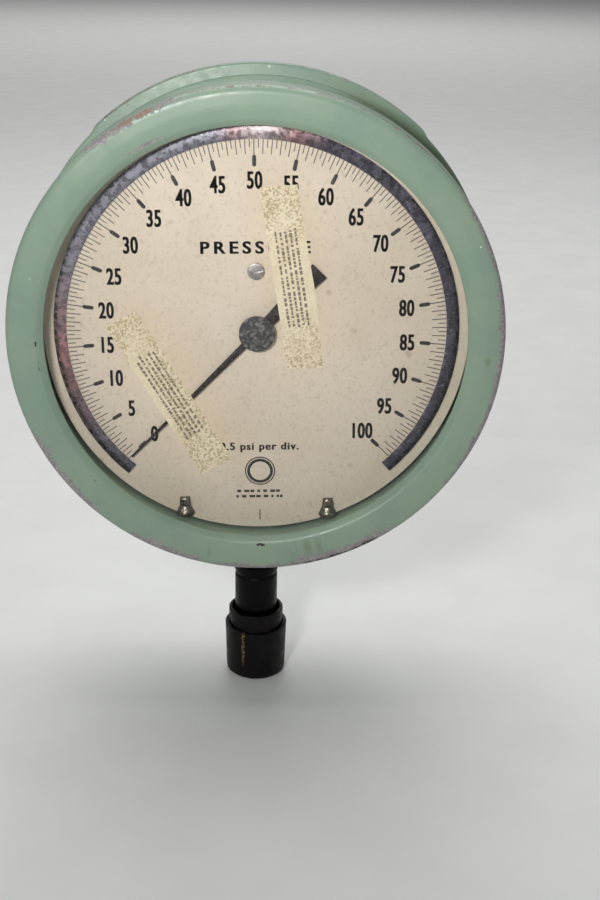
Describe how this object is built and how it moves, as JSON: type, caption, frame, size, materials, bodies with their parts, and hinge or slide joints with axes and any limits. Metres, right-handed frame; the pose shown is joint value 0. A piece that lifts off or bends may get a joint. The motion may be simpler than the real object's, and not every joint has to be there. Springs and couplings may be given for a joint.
{
  "type": "pressure gauge",
  "caption": "Round dial pressure gauge with a screwed ring, mirror band and lower stem; a Bourdon tube turns the pointer through a link, sector and pinion.",
  "frame": {"origin": "centre of the case's flat back face, on the gauge's axis", "axes": "-Y out of the dial towards the reader, +Y out of the back, +Z to 12 o'clock, +X to 3 o'clock"},
  "size_m": [0.1828, 0.0617, 0.2434],
  "materials": {
    "painted_case": "semi-gloss sage green enamel, chipped and rubbed at the edges",
    "brass": "machined, dull",
    "bronze": "drawn tube",
    "steel": "turned",
    "dial_enamel": "matt cream enamel with black printing, aged",
    "pointer_black": "matt black, dusty",
    "mirror": "tarnished mirror foil",
    "glass": "clear plate glass",
    "rubber": "matt",
    "black_plastic": "semi-gloss moulded",
    "paper": "embossed, yellowed"
  },
  "bodies": {
    "case": {"blowout_disc": "rubber", "bourdon_tube": "bronze", "bracket_screw_left": "steel", "bracket_screw_right": "steel", "case": "painted_case", "case_screw_left": "steel", "case_screw_right": "steel", "dial": "dial_enamel", "dial_clip_left": "steel", "dial_clip_right": "steel", "dial_post_left": "steel", "dial_post_right": "steel", "dial_post_top": "brass", "dial_screw_left": "steel", "dial_screw_right": "steel", "dial_screw_top": "steel", "hairspring": "bronze", "hairspring_stud": "brass", "mirror_band": "mirror", "movement_back_plate": "brass", "movement_front_plate": "brass", "movement_pillar_1": "brass", "movement_pillar_2": "brass", "movement_pillar_3": "brass", "movement_pillar_4": "brass", "plate_screw_1": "steel", "plate_screw_2": "steel", "plate_screw_3": "steel", "plate_screw_4": "steel", "restrictor_screw": "steel", "socket": "brass", "socket_seal": "rubber"},
    "pointer": {"pointer": "pointer_black", "pointer_hub": "pointer_black", "pointer_arbor": "steel", "hairspring_collet": "brass"},
    "sector": {"sector_gear": "brass", "sector_arbor": "steel", "link_pin_sector": "steel"},
    "tube_tip": {"tube_tip": "brass", "link_pin_tip": "steel"},
    "link": {"link": "steel"},
    "window": {"window": "glass", "window_gasket": "rubber", "paper_strip_left": "paper", "paper_strip_right": "paper"},
    "bezel_ring": {"bezel_ring": "painted_case"},
    "thread_sleeve": {"thread_sleeve": "black_plastic"},
    "thread_cap": {"thread_cap": "black_plastic"}
  },
  "joints": [
    {"name": "pointer_sweep", "type": "hinge", "parent": "case", "child": "pointer", "pos_m": [0, -0.0468, 0], "axis": [0, 1, 0], "range_deg": [0, 270], "stiffness_Nm_per_rad": 0.0005},
    {"name": "sector_swing", "type": "hinge", "parent": "case", "child": "sector", "pos_m": [0.012, -0.028, -0.03394], "axis": [0, 1, 0], "range_deg": [-33.76, 0]},
    {"name": "tube_uncurl", "type": "hinge", "parent": "case", "child": "tube_tip", "pos_m": [-0.01303, -0.024, 0.01567], "axis": [0, 1, 0], "range_deg": [-6.13, 0], "deforming": ["bourdon_tube"]},
    {"name": "link_turn", "type": "hinge", "parent": "tube_tip", "child": "link", "pos_m": [0.051, -0.0296, -0.014], "axis": [0, 1, 0], "range_deg": [0, 3.46]},
    {"name": "window_travel", "type": "slide", "parent": "case", "child": "window", "axis": [0, -1, 0], "range_m": [0, 0.0064]},
    {"name": "ring_turn", "type": "hinge", "parent": "window", "child": "bezel_ring", "pos_m": [0, -0.0545, 0], "axis": [0, -1, 0], "range_deg": [0, 720]},
    {"name": "sleeve_pull", "type": "slide", "parent": "case", "child": "thread_sleeve", "axis": [0, 0, -1], "range_m": [0, 0.025]},
    {"name": "cap_pull", "type": "slide", "parent": "thread_sleeve", "child": "thread_cap", "axis": [0, 0, -1], "range_m": [0, 0.022]}
  ],
  "couplings": [
    {"joint": "sector_swing", "follows": "pointer_sweep", "ratio": -0.125},
    {"joint": "tube_uncurl", "follows": "pointer_sweep", "ratio": -0.022693},
    {"joint": "link_turn", "follows": "pointer_sweep", "ratio": 0.012785},
    {"joint": "window_travel", "follows": "ring_turn", "m_per_rad": 0.00050532}
  ]
}
